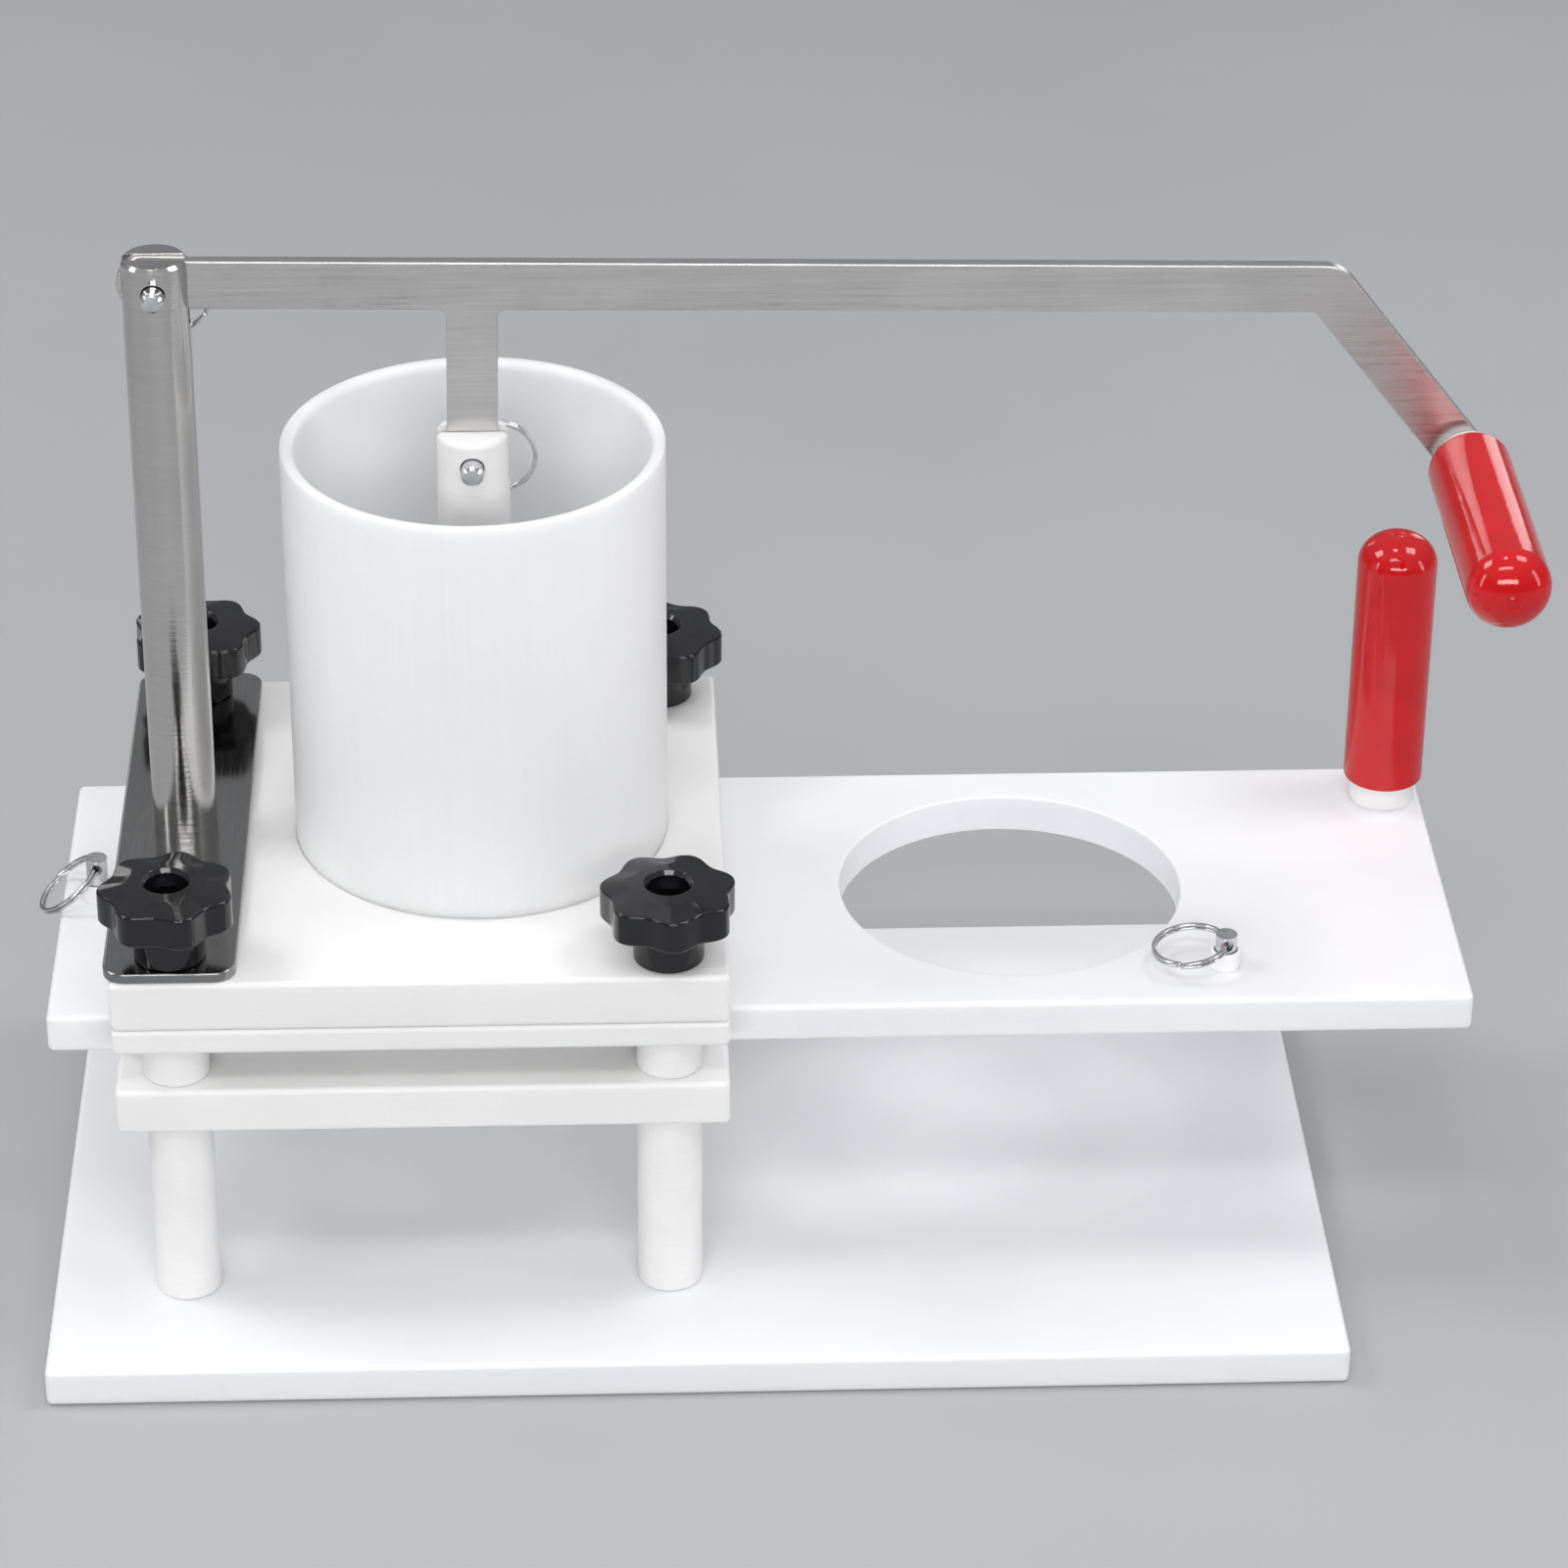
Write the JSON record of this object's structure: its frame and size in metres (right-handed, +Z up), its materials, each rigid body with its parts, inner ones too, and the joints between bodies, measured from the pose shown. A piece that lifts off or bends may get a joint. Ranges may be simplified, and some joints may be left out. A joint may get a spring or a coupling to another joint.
{
  "type": "lever portion press",
  "caption": "Hand lever press for curd or mince: a white barrel over a sliding mould plate on a column stand, with a steel post and lever, red grips and black star knobs.",
  "frame": {"origin": "centre of the base plate's underside", "axes": "+Z up, +X along the slide towards its handle, -Y towards the operator"},
  "size_m": [0.5474, 0.3, 0.391],
  "materials": {
    "white_board": "satin white polyethylene board with eased edges",
    "white_turned": "turned white polyethylene rod, faint tool rings",
    "frosted_tube": "extruded white tube, matt and slightly translucent",
    "brushed_steel": "stainless steel brushed along its length",
    "polished_strip": "stainless strip, near mirror with fine scratches",
    "bright_steel": "polished stainless steel",
    "plated_screw": "plated steel",
    "black_knob": "glossy black moulded plastic",
    "red_sleeve": "glossy dipped red vinyl",
    "brass_insert": "turned brass"
  },
  "bodies": {
    "frame": {"base_plate": "white_board", "support_plate": "white_board", "guide_plate": "white_board", "hopper_plate": "white_board", "barrel": "frosted_tube", "post_foot": "polished_strip", "post": "brushed_steel", "column_front_left": "white_turned", "column_front_right": "white_turned", "column_rear_left": "white_turned", "column_rear_right": "white_turned", "spacer_front_left": "white_turned", "spacer_front_right": "white_turned", "spacer_rear_left": "white_turned", "spacer_rear_right": "white_turned", "stud_front_left": "plated_screw", "stud_front_right": "plated_screw", "stud_rear_left": "plated_screw", "stud_rear_right": "plated_screw"},
    "lever": {"lever": "brushed_steel", "lever_grip_core": "white_turned", "lever_grip_sleeve": "red_sleeve", "lever_grip_screw": "plated_screw"},
    "plunger": {"plunger_rod": "white_turned", "piston": "white_turned", "piston_screw": "plated_screw"},
    "slide": {"slide_plate": "white_board", "slide_handle_core": "white_turned", "slide_handle_sleeve": "red_sleeve", "slide_handle_screw": "plated_screw", "stop_bush_left": "white_turned", "stop_bush_right": "white_turned"},
    "pivot_pin": {"pivot_pin": "bright_steel", "pivot_pin_ball": "bright_steel"},
    "plunger_pin": {"plunger_pin": "bright_steel", "plunger_pin_ball": "bright_steel"},
    "stop_pin_left": {"stop_pin_left": "bright_steel", "stop_pin_ball_left": "bright_steel"},
    "stop_pin_right": {"stop_pin_right": "bright_steel", "stop_pin_ball_right": "bright_steel"},
    "pivot_ring": {"pivot_ring": "bright_steel"},
    "plunger_ring": {"plunger_ring": "bright_steel"},
    "stop_ring_left": {"stop_ring_left": "bright_steel"},
    "stop_ring_right": {"stop_ring_right": "bright_steel"},
    "knob_front_left": {"knob_front_left": "black_knob", "knob_insert_front_left": "brass_insert"},
    "knob_front_right": {"knob_front_right": "black_knob", "knob_insert_front_right": "brass_insert"},
    "knob_rear_left": {"knob_rear_left": "black_knob", "knob_insert_rear_left": "brass_insert"},
    "knob_rear_right": {"knob_rear_right": "black_knob", "knob_insert_rear_right": "brass_insert"}
  },
  "joints": [
    {"name": "lever_lift", "type": "hinge", "parent": "frame", "child": "lever", "pos_m": [-0.19, 0.003, 0.381], "axis": [0, -1, 0], "range_deg": [0, 30]},
    {"name": "plunger_link", "type": "hinge", "parent": "lever", "child": "plunger", "pos_m": [-0.0785, 0.003, 0.3117], "axis": [0, -1, 0], "range_deg": [-37.5, 0]},
    {"name": "slide_travel", "type": "slide", "parent": "frame", "child": "slide", "axis": [1, 0, 0], "range_m": [-0.18, 0.006]},
    {"name": "pivot_pin_pull", "type": "slide", "parent": "frame", "child": "pivot_pin", "axis": [0, 1, 0], "range_m": [0, 0.036]},
    {"name": "plunger_pin_pull", "type": "slide", "parent": "plunger", "child": "plunger_pin", "axis": [0, 1, 0], "range_m": [0, 0.037]},
    {"name": "stop_pin_left_lift", "type": "slide", "parent": "slide", "child": "stop_pin_left", "axis": [0, 0, 1], "range_m": [0, 0.025]},
    {"name": "stop_pin_right_lift", "type": "slide", "parent": "slide", "child": "stop_pin_right", "axis": [0, 0, 1], "range_m": [0, 0.025]},
    {"name": "pivot_ring_swing", "type": "hinge", "parent": "pivot_pin", "child": "pivot_ring", "pos_m": [-0.19, 0.019, 0.381], "axis": [0.9397, 0, 0.342], "range_deg": [0, 150]},
    {"name": "plunger_ring_swing", "type": "hinge", "parent": "plunger_pin", "child": "plunger_ring", "pos_m": [-0.0785, 0.0203, 0.3117], "axis": [0.7431, 0, 0.6691], "range_deg": [0, 150]},
    {"name": "stop_ring_left_swing", "type": "hinge", "parent": "stop_pin_left", "child": "stop_ring_left", "pos_m": [-0.2245, 0.003, 0.1392], "axis": [0, 1, 0], "range_deg": [0, 150]},
    {"name": "stop_ring_right_swing", "type": "hinge", "parent": "stop_pin_right", "child": "stop_ring_right", "pos_m": [0.198, -0.057, 0.1352], "axis": [0, 1, 0], "range_deg": [-3, 90]},
    {"name": "knob_front_left_turn", "type": "hinge", "parent": "frame", "child": "knob_front_left", "pos_m": [-0.19, -0.094, 0.16], "axis": [0, 0, 1], "continuous": true},
    {"name": "knob_front_right_turn", "type": "hinge", "parent": "frame", "child": "knob_front_right", "pos_m": [-0.01, -0.094, 0.156], "axis": [0, 0, 1], "continuous": true},
    {"name": "knob_rear_left_turn", "type": "hinge", "parent": "frame", "child": "knob_rear_left", "pos_m": [-0.19, 0.1, 0.16], "axis": [0, 0, 1], "continuous": true},
    {"name": "knob_rear_right_turn", "type": "hinge", "parent": "frame", "child": "knob_rear_right", "pos_m": [-0.01, 0.1, 0.156], "axis": [0, 0, 1], "continuous": true}
  ],
  "couplings": [
    {"joint": "plunger_link", "follows": "lever_lift", "ratio": -1.238},
    {"joint": "stop_ring_right_swing", "follows": "slide_travel", "rad_per_m": -8.7}
  ]
}
